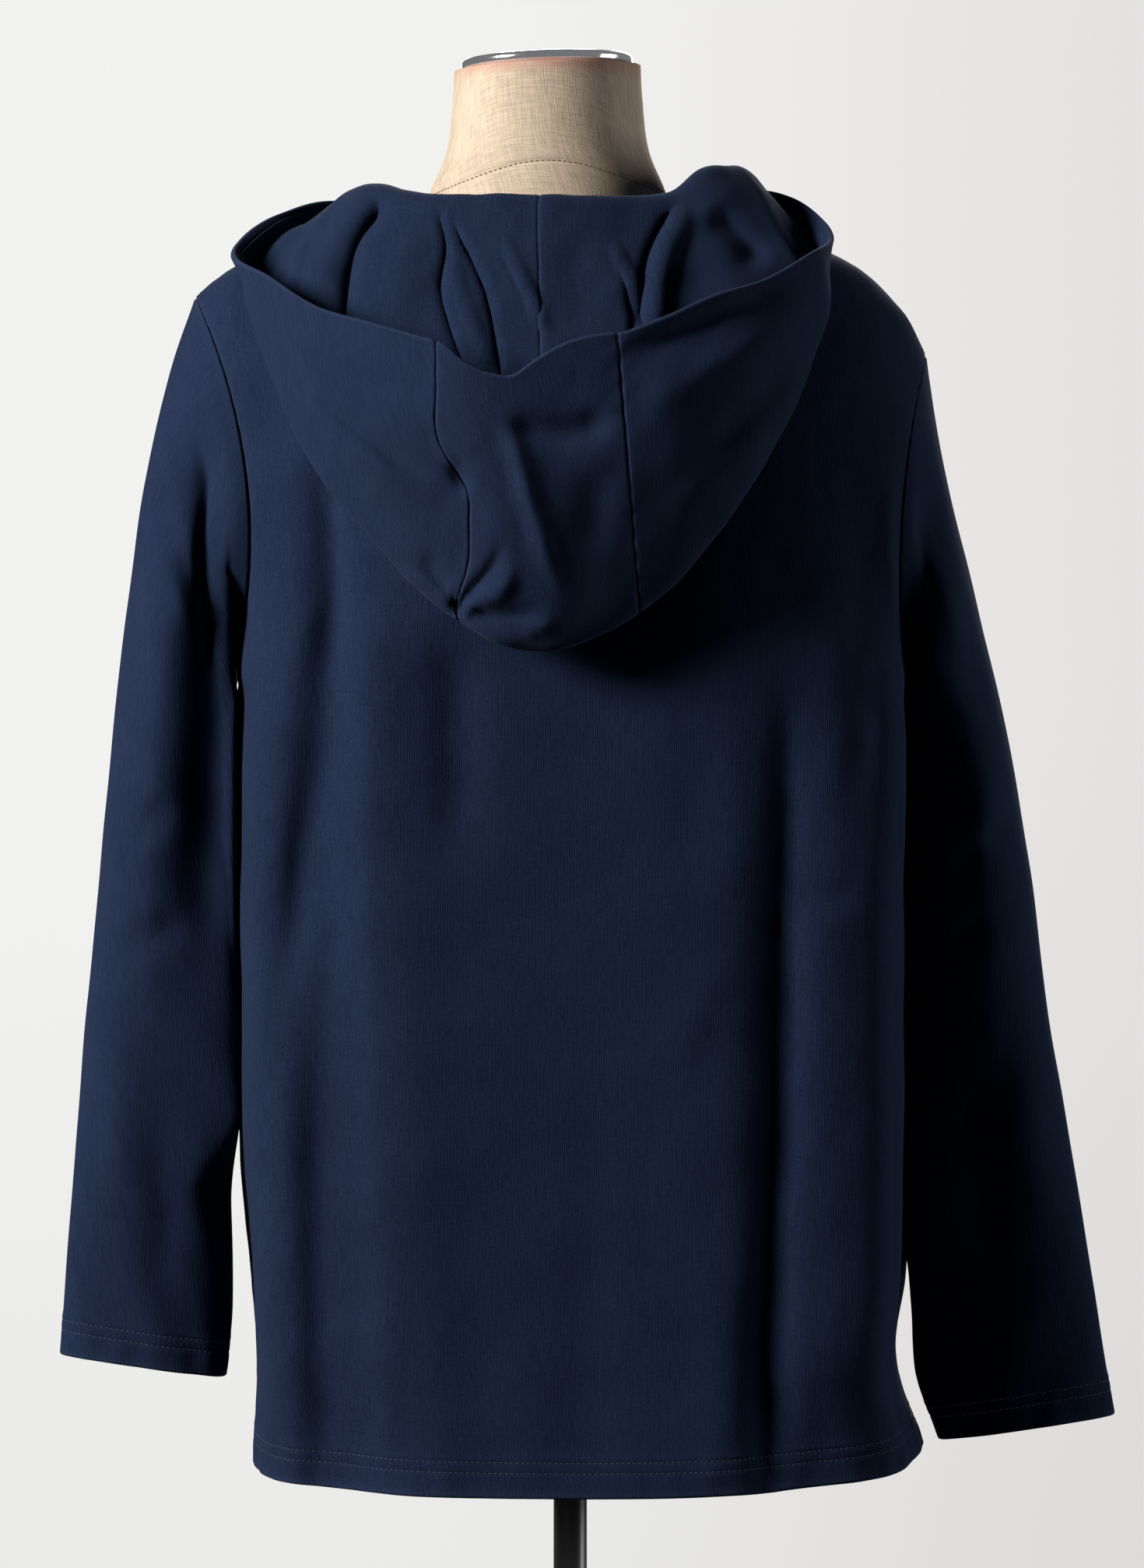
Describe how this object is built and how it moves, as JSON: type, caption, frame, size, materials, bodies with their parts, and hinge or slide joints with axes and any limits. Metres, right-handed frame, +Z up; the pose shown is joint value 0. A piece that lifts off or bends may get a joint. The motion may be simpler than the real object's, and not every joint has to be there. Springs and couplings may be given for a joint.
{
  "type": "pullover hoodie on dress form",
  "caption": "Long-sleeved pullover hoodie with its hood down over the back, standing on a limbless dress form with a pole and a round base.",
  "frame": {"origin": "centre of the underside of the form's base plate, on the pole's axis", "axes": "+Z up, the wearer faces -Y, +X to the wearer's left"},
  "size_m": [0.6005, 0.3687, 1.5008],
  "materials": {
    "navy_knit": "matt brushed knit",
    "navy_lining": "matt knit",
    "linen": "unbleached plain weave",
    "bright_metal": "polished",
    "dark_steel": "satin"
  },
  "bodies": {
    "root": {"back": "navy_knit", "front": "navy_knit", "sleeve_left": "navy_knit", "sleeve_right": "navy_knit", "hood_left": "navy_knit", "hood_centre": "navy_knit", "hood_right": "navy_knit", "hood_lining_left": "navy_lining", "hood_lining_right": "navy_lining", "form_torso": "linen", "form_neck_cap": "bright_metal", "form_pole": "dark_steel", "form_base": "dark_steel"}
  },
  "joints": []
}
